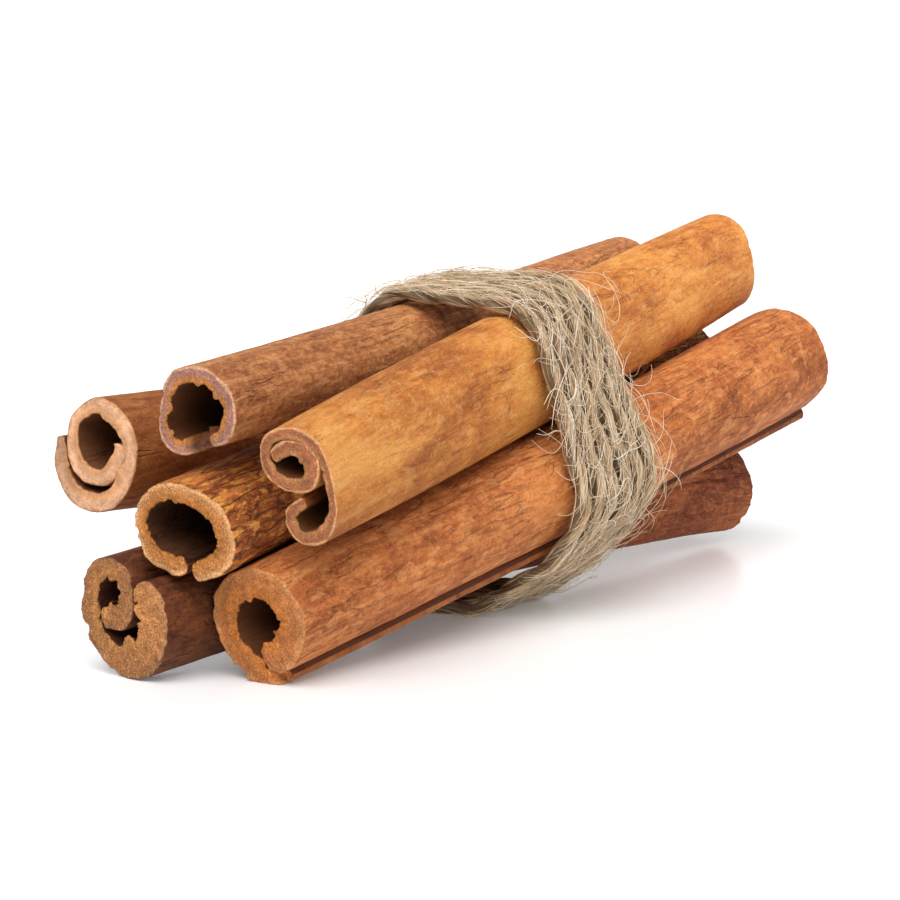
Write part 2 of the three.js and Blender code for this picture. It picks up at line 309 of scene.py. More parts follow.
def strip_line(stick, count):
    """The middle of the bark, at `count` steps from edge to edge: place, side towards the
    roll's inside, half thickness, distance round the strip and that distance for each of
    the strip's own points. Past each end of the strip's line the bark runs straight on and
    its thickness closes like a half ellipse. The steps are closer together at both edges."""
    steps = 60
    line = through(stick["strip"], steps)
    far_along = along(line[:, :2])
    total = far_along[-1]
    closing = END_ROUNDING * line[[0, -1], 2] / 2
    places = -closing[0] + crowded(count, 0.8) * (total + closing.sum())
    inside = np.clip(places, 0.0, total)
    middle = np.stack([np.interp(inside, far_along, line[:, k]) for k in range(2)], -1)
    heading = unit(np.gradient(line[:, :2], axis=0))
    heading = unit(np.stack([np.interp(inside, far_along, heading[:, k]) for k in range(2)], -1))
    middle = middle + heading * (places - inside)[:, None]
    past = np.where(places < 0, -places / closing[0], (places - total) / closing[1])
    half = np.interp(inside, far_along, line[:, 2]) / 2
    half = half * np.sqrt(np.clip(1.0 - np.clip(past, 0.0, 1.0) ** 2, 0.0006, 1.0))
    side = np.stack([-heading[:, 1], heading[:, 0]], -1)
    return middle, side, half, places, far_along[::steps]


def cracks(around, down, total, length, count, seed):
    """How deep each point lies in a lengthwise crack, 0 to 1: each crack is a wandering
    line down the stick, and the depth falls off as a bell across it and fades at its ends."""
    draw = np.random.default_rng(seed)
    depth = np.zeros(np.broadcast(around, down).shape)
    for k in range(count):
        where = draw.uniform(0.05, 0.95) * total
        start = draw.uniform(-0.1, 0.75) * length
        run = draw.uniform(0.25, 0.7) * length
        width = draw.uniform(0.07, 0.15)
        wander = 0.9 * noise(down * 0.09, k, 0.0, seed) + 0.3 * noise(down * 0.45, k, 9.0, seed)
        across = np.exp(-(((around - where - wander) / width) ** 2))
        ends = smooth(down, start, start + 0.2 * run) * smooth(-down, -start - run, -start - 0.8 * run)
        strength = draw.uniform(0.35, 1.0) * (0.6 + 0.4 * noise(down * 0.8, k, 3.0, seed))
        depth = np.maximum(depth, across * ends * strength)
    return depth


def on_strip(place, marks):
    """Distance round the strip of a place that is given by the number of its point."""
    return np.interp(place, np.arange(len(marks)), marks)


def worn_skins(wear, around, down, to_end, marks, seed, crack):
    """How far the outer skin is raised outwards and the inner skin inwards. Long waves,
    wrinkles and pimples, less the cracks, make the outer one, and a bell raises each swell.
    Near the cut ends both skins are ragged, the inner one with crumbs and lumps."""
    relief = wear["relief"]
    broad = 0.17 * fractal(around * 0.16, down * 0.03, seed, 3, seed)
    wrinkle = 0.11 * fractal(around * 0.9, down * 0.08, seed, 3, seed + 11)
    pimple = 0.035 * fractal(around * 2.4, down * 0.8, seed, 2, seed + 23)
    outer = relief * (broad + wrinkle + pimple) - CRACK_DEPTH * crack
    inner = relief * (0.12 * fractal(around * 0.8, down * 0.12, seed, 3, seed + 41))
    for place, half_width, inwards, outwards in wear["swells"]:
        bell = np.exp(-(((around - on_strip(place, marks)) / half_width) ** 2))
        inner, outer = inner + inwards * bell, outer + outwards * bell
    ragged = np.exp(-to_end / RAGGED_REACH) * wear["crumble"]
    crumbs = 0.22 * fractal(around * 1.3, down * 0.6, seed, 4, seed + 51)
    lumps = 0.5 * smooth(noise(around * 0.7, down * 0.5, seed, seed + 55), 0.35, 0.9)
    inner = inner + ragged * (crumbs + lumps)
    outer = outer + ragged * 0.07 * fractal(around * 0.8, down * 0.6, seed, 4, seed + 61)
    return outer, inner


def fallen_back(wear, around, deep, across, front, marks, seed):
    """How far the cut ends have fallen back: grit and crumbs everywhere, deeper chips at
    the skins, and at the front the larger breaks, each a step with rough edges."""
    crumb = 0.5 + fractal(around * 1.2, across * 1.2, seed + 0.5, 4, seed + 71)
    grit = 0.5 + noise(around * 4.2, across * 4.2, seed + 0.5, seed + 75)
    chip = smooth(fractal(around * 0.9, deep * 1.5, seed + 0.5, 3, seed + 81), 0.12, 0.5)
    chip = chip * np.abs(2 * deep - 1.0) ** 2
    back = wear["crumble"] * (0.24 * crumb + 0.08 * grit + 0.35 * chip)
    for place, half_width, depth in wear["breaks"]:
        at = on_strip(place, marks)
        edge = np.abs(around - at + 0.35 * noise(deep * 3.0, at, 0.0, seed))
        step = 1.0 - smooth(edge, half_width - 0.25, half_width + 0.25)
        rough = 1.0 + 0.25 * fractal(around * 1.8, deep * 2.0, at, 3, seed + 91)
        back = back + front * step * depth * rough
    return back


def bark_roll(key, seed, around_steps=262, down_steps=98, through_steps=12):
    """One stick. A block of points is bent into the roll: u goes round the strip of bark,
    v down the stick and w from its outer skin to its inner one. Its steps are closer
    together near both ends. The worn skins move points along w, with the edges of the cut
    rounded by a quarter circle, and the crumbled cut moves them along v, less and less
    away from the end."""
    stick, wear = STICKS[key], WEAR[key]
    far, right, up, forward, length = stick_frame(stick)
    middle, side, half, places, marks = strip_line(stick, around_steps)
    (iu, iv, iw), faces = slab(around_steps, down_steps, through_steps)
    down = crowded(down_steps, 0.94)[iv] * length
    deep = iw / (through_steps - 1.0)
    around = places[iu]
    thick = 2 * half[iu]
    across = deep * thick
    total = places[-1]
    to_end = np.minimum(down, length - down)
    front = down < length / 2

    crack = cracks(around, down, total, length, wear["cracks"], seed + 31)
    outer, inner = worn_skins(wear, around, down, to_end, marks, seed, crack)
    to_edge = 1.0 - np.clip(to_end / EDGE_RADIUS, 0, 1)
    rim = EDGE_RADIUS * (1.0 - np.sqrt(np.clip(1.0 - to_edge**2, 0, 1)))
    slim = np.clip(thick, 0.0, 1.0)
    shift = (deep * (inner - rim) - (1.0 - deep) * (outer - rim)) * slim
    inwards = (2 * deep - 1.0) * half[iu] + shift
    back = fallen_back(wear, around, deep, across, front, marks, seed)
    pushed = back * np.exp(-to_end / (1.2 + 1.5 * back))
    down = down + np.where(front, pushed, -pushed)

    from_far = 1.0 - down / length
    flat = (middle[iu] + side[iu] * inwards[:, None]) * girth_at(stick, from_far)[:, None]
    flat = flat + np.array(stick["bow"]) * (4 * from_far * (1 - from_far))[:, None]
    vertices = far + forward * (length - down)[:, None] + right * flat[:, :1] + up * flat[:, 1:]
    vertices[:, 2] = np.maximum(vertices[:, 2], 0.0)

    to_strip_edge = np.minimum(around - places[0], total - around)
    attributes = {
        "grain": np.stack([around, across, down], -1),
        "deep": deep,
        "cut": np.exp(-((to_end / 0.06) ** 2)),
        "crack": crack * (1.0 - deep),
        # Painted shade: how far the cut has fallen back, so that the cut is darkened there.
        "recess": np.clip(pushed, 0.0, 2.0) / 2.0,
        "torn": np.exp(-((to_strip_edge / 0.45) ** 2)),
    }
    return vertices, faces, attributes


# ---------------------------------------------------------------- the twine's route


def furthest(x, outward):
    """For each place x along the bundle, the point (y, z) of its section, sticks and slack
    points, that lies furthest out in that direction."""
    candidates = [SLACK_POINTS[None] + np.zeros((len(x), 1, 1))]
    for stick in STICKS.values():
        far, right, up, forward, length = stick_frame(stick)
        middle, side, half, _, _ = strip_line(stick, 90)
        outline = np.vstack([middle + side * half[:, None], middle - side * half[:, None]])
        from_far = (x - far[0]) / forward[0]
        share = from_far / length
        bow = 4 * share * (1 - share)
        girth = girth_at(stick, share)[:, None, None]
        offset = outline[None] * girth + bow[:, None, None] * np.array(stick["bow"])
        centre = far[1:] + from_far[:, None] * forward[1:]
        candidates.append(centre[:, None] + offset[..., :1] * right[1:] + offset[..., 1:] * up[1:])
    candidates = np.concatenate(candidates, axis=1)
    reaches = (candidates * outward[:, None]).sum(-1)
    return candidates[np.arange(len(x)), reaches.argmax(axis=1)]


def band_x(around):
    """Place along X of the twine when it has gone `around` from the bundle's right side:
    the band's own middle there, plus the number of turns from the middle turn times the
    pitch there."""
    turns = (around - VALLEY_ANGLE) / (2 * np.pi)
    middle_turn = TWINE_TURNS / 2 - VALLEY_ANGLE / (2 * np.pi) - 0.5
    middle = BAND_MIDDLE[0] + BAND_WAVE * np.cos(2 * (around - BAND_WAVE_ANGLE))
    pitch = TWINE_PITCH + PITCH_SPREAD * np.cos(around - PITCH_SPREAD_ANGLE)
    return middle + (turns - middle_turn) * pitch


def twine_points(angle):
    """Points of the twine's middle where the bundle's outside faces each angle: the
    furthest point that way, plus the twine's radius and a small clearance. Where the band
    is along X depends on how far round the point lies, so the two are worked out in turn,
    three times over."""
    outward = np.stack([-np.cos(angle), np.sin(angle)], -1)
    around = angle
    for _ in range(3):
        flat = furthest(band_x(around), outward)
        flat = flat + outward * (TWINE_DIAMETER / 2 + TWINE_CLEARANCE)
        polar = np.arctan2(flat[:, 1] - BAND_MIDDLE[2], BAND_MIDDLE[1] - flat[:, 0])
        around = angle + (polar - angle + np.pi) % (2 * np.pi) - np.pi
    return np.column_stack([band_x(around), flat])


def tucked_end(angle, contact):
    """Points from the last contact into the valley, sinking with the square of the way."""
    pair = twine_points(np.array([angle - VALLEY_HALF_ANGLE, angle + VALLEY_HALF_ANGLE]))
    share = np.linspace(0.0, 1.0, 12)[1:, None]
    inward = np.array([0.0, math.cos(angle), -math.sin(angle)])
    return contact + (pair.mean(axis=0) - contact) * share + inward * TUCK_DEPTH * share**2


def twine_route(step):
    """The twine's middle line at even steps, its outward and sideways directions there and
    the distances along it. The points of the turns and of both tucked ends are read off
    every tenth of a millimetre, a bell-shaped average over two millimetres rounds their
    corners, and slow noise moves the line a little along X."""
    last = VALLEY_ANGLE + TWINE_TURNS * 2 * np.pi
    angle = np.linspace(VALLEY_ANGLE + VALLEY_HALF_ANGLE, last - VALLEY_HALF_ANGLE, TWINE_TURNS * 120)
    turns = twine_points(angle)
    chain = np.vstack(
        [tucked_end(VALLEY_ANGLE, turns[0])[::-1], turns, tucked_end(last, turns[-1])]
    )
    chain = chain[np.concatenate([[True], np.diff(along(chain)) > 1e-6])]
    fine = evenly(chain, np.arange(0.0, along(chain)[-1], 0.1))
    window = np.hanning(23)
    rounded = np.stack([np.convolve(c, window / window.sum(), "same") for c in fine.T], -1)
    rounded[:12], rounded[-12:] = fine[:12], fine[-12:]
    travelled = along(rounded)
    places = np.arange(0.0, travelled[-1], step)
    line = evenly(rounded, places)
    line[:, 0] += 0.22 * noise(places / 17.0, 0.0, 0.0, 5)
    line[:, 2] = np.maximum(line[:, 2], TWINE_DIAMETER / 2 - 0.05)
    tangent = unit(np.gradient(line, axis=0))
    middle = np.array(BAND_MIDDLE)
    outward = (line - middle) * (0.0, 1.0, 1.0)
    outward = unit(outward - tangent * (outward * tangent).sum(-1, keepdims=True))
    return line, outward, np.cross(tangent, outward), places


def ply_radius(turned):
    """How far out the two plies reach: two circles side by side, seen from between them."""
    across = PLY_RADIUS**2 - (PLY_OFFSET * np.sin(turned)) ** 2
    return PLY_OFFSET * np.abs(np.cos(turned)) + np.sqrt(across)


def twine_rope(sides=44, step=0.34):
    """The twine: a ring of points at each step of the route, at the plies' radius, each
    ring turned a little further than the last. Both ends are closed by a middle point.
    proud is high on the plies' crests and low in their grooves and on the
    twine's flanks, which lie against the next turns: the low values are painted shade, and
    the strands' noise adds their own tone."""
    line, outward, sideways, places = twine_route(step)
    angle = np.arange(sides) * 2 * np.pi / sides
    turned = angle[None] - 2 * np.pi * places[:, None] / TWIST_LENGTH
    crest = np.abs(np.cos(turned))
    swell = 1.0 + 0.07 * noise(places / 5.0, 0.0, 0.0, 7)[:, None]
    lean = turned + 2 * np.pi * places[:, None] / TWIST_LENGTH * 0.6
    strands = fractal(np.cos(lean) * 3.4, np.sin(lean) * 3.4, places[:, None] * 0.13, 3, 17)
    radius = ply_radius(turned) * swell + 0.09 * strands
    ring = (
        outward[:, None] * np.cos(angle)[None, :, None]
        + sideways[:, None] * np.sin(angle)[None, :, None]
    )
    vertices = line[:, None] + ring * radius[..., None]
    count = len(places)
    number = np.arange(count * sides).reshape(count, sides)
    around = np.roll(number, -1, axis=1)
    quads = np.stack([number[:-1], around[:-1], around[1:], number[1:]], -1).reshape(-1, 4)
    vertices = np.vstack([vertices.reshape(-1, 3), line[:1], line[-1:]])
    vertices[:, 2] = np.maximum(vertices[:, 2], 0.0)
    start = np.stack([np.full(sides, count * sides), around[0], number[0]], -1)
    end = np.stack([np.full(sides, count * sides + 1), number[-1], around[-1]], -1)
    faces = quads.tolist() + start.tolist() + end.tolist()
    lay = np.stack([np.cos(lean) * 0.75, np.sin(lean) * 0.75, places[:, None] + 0 * lean], -1)
    lay = np.vstack([lay.reshape(-1, 3), [(0, 0, 0)], [(0, 0, places[-1])]])
    # Painted shade: the flanks against the next turns and the grooves between the plies get low values
    # here, so they are coloured dark; the strands add their own tone.
    flank_shade = smooth(np.abs(np.sin(angle)), 0.72, 1.0)[None]
    proud = np.append((crest + 0.8 * strands - 1.1 * flank_shade).ravel(), [1.0, 1.0])
    return vertices, faces, {"lay": lay, "proud": proud}


def tubes(path, radius, shade):
    """Three-sided tubes along rows of points, thinning towards both ends. The first side
    faces square to the path and to a slanting direction that hardly any fibre takes."""
    count, points = path.shape[:2]
    path[..., 2] = np.maximum(path[..., 2], 0.06)
    tangent = unit(np.gradient(path, axis=1))
    first = unit(np.cross(tangent, np.array([0.313, 0.577, 0.754])))
    second = np.cross(tangent, first)
    t = np.linspace(0.02, 0.98, points)[None]
    radius = radius * (0.3 + 0.7 * np.sin(np.pi * t) ** 0.5)
    corner = np.arange(3) * 2 * np.pi / 3
    tube = (
        path[:, :, None]
        + first[:, :, None] * (np.cos(corner) * radius[..., None])[..., None]
        + second[:, :, None] * (np.sin(corner) * radius[..., None])[..., None]
    )
    number = np.arange(count * points * 3).reshape(count, points, 3)
    around = np.roll(number, -1, axis=2)
    quads = np.stack([number[:, :-1], around[:, :-1], around[:, 1:], number[:, 1:]], -1)
    caps = np.vstack([number[:, 0, ::-1], number[:, -1]])
    faces = quads.reshape(-1, 4).tolist() + caps.tolist()
    return tube.reshape(-1, 3), faces, {"shade": np.repeat(shade.ravel(), points * 3)}


def on_twine(route, place, angle, reach, aside):
    """Points `place` along the twine, `reach` out from its middle at an angle from the
    outward direction, and moved `aside` over the bundle."""
    line, outward, sideways, places = route
    at = [np.stack([np.interp(place, places, c) for c in v.T], -1) for v in (line, outward, sideways)]
    spoke = at[1] * np.cos(angle)[..., None] + at[2] * np.sin(angle)[..., None]
    return at[0] + spoke * reach[..., None] + at[2] * aside[..., None]


def lying_fibres(count, seed, points=14):
    """Fibres that lie on the plies: each follows the twist, roughly, and rises from the
    surface by less than a fifth of a millimetre."""
    draw = np.random.default_rng(seed)
    route = twine_route(0.5)
    last = route[-1][-1]
    t = np.linspace(0.0, 1.0, points)[None]
    run = draw.uniform(2.0, 6.5, (count, 1))
    place = draw.uniform(0.0, last - 9.0, (count, 1)) + run * t
    start = draw.uniform(-1.1, 1.1, (count, 1))
    follow = draw.normal(0.75, 0.3, (count, 1))
    angle = start + 2 * np.pi * run * (t - 0.5) / TWIST_LENGTH * follow
    angle = angle + 0.3 * noise(place * 0.5, start * 9.0, 0.0, seed)
    rise = draw.uniform(0.0, 1.0, (count, 1)) ** 2 * 0.16 * np.sin(np.pi * t)
    turned = angle - 2 * np.pi * place / TWIST_LENGTH
    path = on_twine(route, place, angle, ply_radius(turned) + 0.01 + rise, np.zeros_like(angle))
    radius = draw.uniform(0.024, 0.045, (count, 1))
    return tubes(path, radius, draw.uniform(0.0, 1.0, count))


def stray_fibres(count, seed, reach, lift, loose, points):
    """Stray fibres: each leaves the twine, curls over the band with a heading that keeps
    turning by noise, in an arc of its own height, and comes back or ends free. reach and
    lift are the least and most length and height, and loose is the share that ends free."""
    draw = np.random.default_rng(seed)
    route = twine_route(0.5)
    last = route[-1][-1]
    t = np.linspace(0.0, 1.0, points)[None]
    run = draw.uniform(*reach, (count, 1))
    pace = run / (points - 1)
    own = draw.uniform(0.0, 90.0, (count, 1))
    bend = draw.uniform(0.2, 1.1, (count, 1))
    turn = bend * 1.8 * fractal(run * t * 0.35 + own, own, 0.0, 2, seed)
    heading = draw.normal(0.25, 0.7, (count, 1)) + np.cumsum(turn * pace, axis=1)
    forth = np.where(draw.uniform(0.0, 1.0, (count, 1)) < 0.5, -1.0, 1.0)
    place = draw.uniform(0.05, 0.95, (count, 1)) * last + forth * np.cumsum(np.cos(heading) * pace, axis=1)
    aside = forth * np.cumsum(np.sin(heading) * pace, axis=1)
    height = lift[0] + (lift[1] - lift[0]) * draw.uniform(0.0, 1.0, (count, 1)) ** 2.0
    free = draw.uniform(0.0, 1.0, (count, 1)) < loose
    rise = height * np.where(free, t**1.3, np.sin(np.pi * t) ** 0.8)
    angle = draw.normal(0.0, 0.5, (count, 1)) * (1.0 - smooth(t, 0.0, 0.4))
    path = on_twine(route, place, angle, 0.8 + rise, aside)
    radius = draw.uniform(0.022, 0.045, (count, 1))
    return tubes(path, radius, draw.uniform(0.0, 1.0, count))


# ---------------------------------------------------------------- materials


def linear(code):
    """A colour written as six hex digits, as the render's linear red, green, blue."""
    parts = np.array([int(code[k : k + 2], 16) for k in (0, 2, 4)]) / 255.0
    bright = np.where(parts <= 0.04045, parts / 12.92, ((parts + 0.055) / 1.055) ** 2.4)
    return (*bright.tolist(), 1.0)


class Finish:
    """A material's nodes, made one under another: each method adds a node and returns its
    result, so that a finish reads as a sum of its layers."""

    def __init__(self, name, roughness, gloss):
        self.material = bpy.data.materials.new(name)
        self.material.use_nodes = True
        self.tree = self.material.node_tree
        self.shader = self.tree.nodes["Principled BSDF"]
        self.shader.inputs["Roughness"].default_value = roughness
        self.shader.inputs["Specular IOR Level"].default_value = gloss

    def add(self, kind, inputs, output=0, **settings):
        """A node of this kind with its inputs, each a value or another node's result."""
        node = self.tree.nodes.new(kind)
        for key, value in settings.items():
            setattr(node, key, value)
        for key, value in inputs.items():
            if isinstance(value, bpy.types.NodeSocket):
                self.tree.links.new(value, node.inputs[key])
            else:
                node.inputs[key].default_value = value
        return node.outputs[output]

    def attribute(self, name, output="Fac"):
        """A value, or with output "Vector" a vector, that is stored at the mesh's points."""
        return self.add("ShaderNodeAttribute", {}, output, attribute_name=name)

    def grainy(self, vector, scale, detail=4.0, rough=0.6, warp=0.0):
        """Noise on the vector after stretching it by a scale along each axis."""
        stretched = self.add("ShaderNodeMapping", {"Vector": vector, "Scale": scale})
        inputs = {"Vector": stretched, "Scale": 1.0, "Detail": detail}
        inputs.update({"Roughness": rough, "Distortion": warp})
        return self.add("ShaderNodeTexNoise", inputs)

    def ramp(self, value, low, high, start=0.0, end=1.0):
        """The value carried from low..high to start..end along an S-shaped curve."""
        inputs = {"Value": value, "From Min": low, "From Max": high, "To Min": start, "To Max": end}
        return self.add("ShaderNodeMapRange", inputs, interpolation_type="SMOOTHSTEP")

    def tones(self, value, *stops):
        """A colour read off a row of (place, colour) stops."""
        node = self.tree.nodes.new("ShaderNodeValToRGB")
        self.tree.links.new(value, node.inputs["Fac"])
        elements = node.color_ramp.elements
        while len(elements) < len(stops):
            elements.new(0.5)
        for element, (place, colour) in zip(elements, stops):
            element.position = place
            element.color = linear(colour)
        return node.outputs["Color"]

    def mix(self, share, first, second, how="MIX"):
        """Two colours mixed by a share; either may be six hex digits."""
        first, second = (linear(c) if isinstance(c, str) else c for c in (first, second))
        node = self.tree.nodes.new("ShaderNodeMix")
        node.data_type = "RGBA"
        node.blend_type = how
        for slot_number, value in ((0, share), (6, first), (7, second)):
            if isinstance(value, bpy.types.NodeSocket):
                self.tree.links.new(value, node.inputs[slot_number])
            else:
                node.inputs[slot_number].default_value = value
        return node.outputs[2]

    def sum(self, first, second, how="ADD"):
        """The sum of two values, or what another kind of arithmetic makes of them."""
        node = self.tree.nodes.new("ShaderNodeMath")
        node.operation = how
        for k, value in enumerate((first, second)):
            if isinstance(value, bpy.types.NodeSocket):
                self.tree.links.new(value, node.inputs[k])
            else:
                node.inputs[k].default_value = value
        return node.outputs[0]

    def times(self, first, second):
        return self.sum(first, second, "MULTIPLY")

    def shaded(self, colour, share):
        """The colour, its parts multiplied by a share or by another colour's."""
        return self.mix(1.0, colour, share, "MULTIPLY")

    def axis(self, vector, number):
        """One of the vector's three parts: 0, 1 or 2."""
        return self.add("ShaderNodeSeparateXYZ", {"Vector": vector}, number)

    def done(self, colour, height, depth, strength):
        """Colour and a bump of the given height in metres go to the shader."""
        self.tree.links.new(colour, self.shader.inputs["Base Color"])
        inputs = {"Height": height, "Distance": depth, "Strength": strength}
        bump = self.add("ShaderNodeBump", inputs)
        self.tree.links.new(bump, self.shader.inputs["Normal"])
        return self.material


# Colours of each stick: its skin from dark to light, its streaks, its light patches, the
# rim, ring and crumbly inside of its cut end, and the inside of its bore, bore_and_shade:
# the inner skin's darker colour deepened by painted shade of the hollow, also used as
# painted shade where the cut has broken back. blotch, streak and mottle are the shares of
# the skin's layers, fibre is how much its fine threads differ and grit how much the cut's
# grains do. patches and veins are how strongly those show, and veins are broken where a
# noise is under vein_gap. The scales are per millimetre, round the stick and along it. A
# look gives the rest only where it isn't PLAIN: rim_width is the rim's share of the bark,
# painted_light_along is painted light and shade along the stick, how bright the skin is
# made near the front end and near the far end, face is painted light and
# shade on the cut, (from, to, first, last) with the cut's brightness at two places round
# the strip, and side is painted shade in the same way for the skin, with a tint for each
# place. BARK_BUMP is in metres.
PLAIN = dict(
    rim_width=0.10,
    painted_light_along=(1.0, 1.0),
    face=(0.0, 1.0, 1.0, 1.0),
    side=(0.0, 1.0, "ffffff", "ffffff"),
)
LOOKS = {
    "a": dict(
        slot="bark_tan",
        skin=("673516", "884b23", "a46534"), dark="4c240d", pale="c0834d",
        rim="cf9870", ring="e1ac85", crumb="d5996a", bore_and_shade="6b4023",
        blotch=0.40, streak=0.35, mottle=0.25, fibre=0.10, grit=0.35,
        patches=0.20, patch_scale=(0.8, 0.28),
        veins=0.00, vein_scale=(0.60, 0.08), vein_gap=0.45, vein_width=0.026,
        # Painted shade on part of the cut face.
        face=(2.0, 9.0, 0.72, 1.0),
    ),
    "b": dict(
        slot="bark_brown",
        skin=("84492a", "a4663a", "c08450"), dark="5e2f16", pale="cf9560",
        rim="d4a282", ring="a87663", crumb="b8763c", bore_and_shade="5c3418",
        blotch=0.22, streak=0.34, mottle=0.44, fibre=0.16, grit=1.00,
        patches=0.30, patch_scale=(1.4, 0.50),
        veins=0.10, vein_scale=(0.90, 0.08), vein_gap=0.50, vein_width=0.030,
        painted_light_along=(0.98, 1.2),
    ),
    "c": dict(
        slot="bark_golden",
        skin=("a05824", "c47a36", "d8954a"), dark="8a4a1e", pale="e6b578",
        rim="d39f6d", ring="a46341", crumb="b27749", bore_and_shade="603818",
        blotch=0.50, streak=0.26, mottle=0.24, fibre=0.07, grit=0.80,
        patches=0.20, patch_scale=(1.0, 0.40),
        veins=0.00, vein_scale=(0.60, 0.12), vein_gap=0.50, vein_width=0.020,
        # Painted light and shade along the stick, and a painted shade tint on its lower side.
        painted_light_along=(0.9, 1.16), side=(6.0, 13.0, "e2d9c5", "ffffff"),
    ),
    "d": dict(
        slot="bark_streaked",
        skin=("6c3318", "945024", "b46c32"), dark="4c1f0f", pale="cf9040",
        rim="dba36c", ring="c07f48", crumb="b47031", bore_and_shade="4a2a14",
        blotch=0.25, streak=0.40, mottle=0.35, fibre=0.18, grit=1.20,
        patches=0.75, patch_scale=(1.5, 0.45),
        veins=0.85, vein_scale=(1.00, 0.17), vein_gap=0.34, vein_width=0.050,
        rim_width=0.22, painted_light_along=(1.1, 1.0),
    ),
    "e": dict(
        slot="bark_dark",
        skin=("5a2a14", "784022", "965a32"), dark="3a190c", pale="b07242",
        rim="a9754c", ring="b67947", crumb="c4844a", bore_and_shade="40200f",
        blotch=0.35, streak=0.25, mottle=0.40, fibre=0.14, grit=1.30,
        patches=0.30, patch_scale=(0.9, 0.40),
        veins=0.30, vein_scale=(0.60, 0.10), vein_gap=0.45, vein_width=0.026,
        # Painted shade near the front end and painted light towards the far end, with painted light and
        # shade on part of the cut and painted shade on part of the skin.
        rim_width=0.13, painted_light_along=(0.6, 1.6),
        face=(20.0, 33.0, 0.78, 1.08), side=(20.0, 25.0, "ffffff", "e3d6cd"),
    ),
    "f": dict(
        slot="bark_red",
        skin=("82431e", "a35b2d", "bd753f"), dark="5a2810", pale="d8965a",
        rim="c4844f", ring="b9723d", crumb="c07434", bore_and_shade="5b3216",
        blotch=0.37, streak=0.34, mottle=0.34, fibre=0.14, grit=1.00,
        patches=0.36, patch_scale=(1.0, 0.35),
        veins=0.20, vein_scale=(0.85, 0.10), vein_gap=0.42, vein_width=0.024,
        rim_width=0.17, painted_light_along=(1.0, 1.12),
    ),
}
BRIGHT_CRUMB = "f0cda0"
CRACK_BROWN = "3c1b0c"
BARK_ROUGHNESS = 0.74
BARK_GLOSS = 0.25
BARK_BUMP = 0.00028


def skin_finish(finish, look, grain, deep, round_strip):
    """Colour and relief of the skin: blotches, lengthwise streaks and fine mottling, with
    light patches, long wavy dark veins, fine threads and specks over them. It turns dark in
    the cracks and at the torn edges of the strip, and towards the bore, where the inner
    skin's darker colour is deepened by painted shade. Painted light and shade change its
    brightness from the front end to the far end, and a painted shade tint darkens it on one
    side round the strip."""
    blotch = finish.grainy(grain, (0.13, 0.13, 0.07), 3.0, 0.55, 0.8)
    streak = finish.grainy(grain, (0.95, 0.95, 0.10), 4.0, 0.6, 0.6)
    mottle = finish.grainy(grain, (1.9, 1.9, 0.85), 4.0, 0.65, 0.6)
    speck = finish.grainy(grain, (4.6, 4.6, 2.8), 3.0, 0.65)
    fibre = finish.grainy(grain, (3.4, 3.4, 0.42), 3.0, 0.65, 0.4)
    blend = finish.sum(finish.times(blotch, look["blotch"]), finish.times(streak, look["streak"]))
    blend = finish.sum(blend, finish.times(mottle, look["mottle"]))
    dark, mid, light = look["skin"]
    skin = finish.tones(blend, (0.41, dark), (0.5, mid), (0.585, light))
    wide, tall = look["patch_scale"]
    patch = finish.grainy(grain, (wide, wide, tall), 3.0, 0.6, 0.5)
    skin = finish.mix(finish.ramp(patch, 0.52, 0.62, 0.0, look["patches"]), skin, look["pale"])

    # A vein runs where a wavy noise crosses its middle value.
    wide, tall = look["vein_scale"]
    wave = finish.grainy(grain, (wide, wide, tall), 2.0, 0.5, 0.35)
    ridge = finish.sum(finish.sum(wave, 0.5, "SUBTRACT"), 0.0, "ABSOLUTE")
    gap, width = look["vein_gap"], look["vein_width"]
    broken = finish.ramp(finish.grainy(grain, (0.35, 0.35, 0.08), 3.0), gap, gap + 0.14)
    vein = finish.times(finish.ramp(ridge, 0.15 * width, width, 1.0, 0.0), broken)
    skin = finish.mix(finish.times(vein, look["veins"] * 0.85), skin, look["dark"])

    thread = look["fibre"]
    skin = finish.shaded(skin, finish.ramp(fibre, 0.36, 0.64, 1 - thread, 1 + thread))
    skin = finish.mix(finish.ramp(speck, 0.46, 0.30, 0.0, 0.5), skin, look["dark"])
    skin = finish.mix(finish.ramp(speck, 0.54, 0.70, 0.0, 0.45), skin, look["pale"])
    skin = finish.mix(finish.ramp(finish.attribute("crack"), 0.3, 0.8, 0.0, 0.85), skin, CRACK_BROWN)
    # Painted light and shade: the skin's brightness scaled from the front end to the far end.
    near, away = look["painted_light_along"]
    skin = finish.shaded(skin, finish.ramp(finish.axis(grain, 2), 5.0, 95.0, near, away))
    # Painted shade: a darker tint over part of the skin, round the strip.
    low, high, first, last = look["side"]
    skin = finish.shaded(skin, finish.mix(finish.ramp(round_strip, low, high), first, last))
    # The inner skin's darker colour, deepened by painted shade of the bore.
    skin = finish.mix(finish.ramp(deep, 0.45, 0.95), skin, look["bore_and_shade"])
    skin = finish.mix(finish.ramp(finish.attribute("torn"), 0.3, 1.0, 0.0, 0.5), skin, look["dark"])
    height = finish.sum(finish.times(streak, 0.5), finish.times(mottle, 0.5))
    height = finish.sum(finish.sum(height, finish.times(speck, 0.25)), vein, "SUBTRACT")
    return skin, height


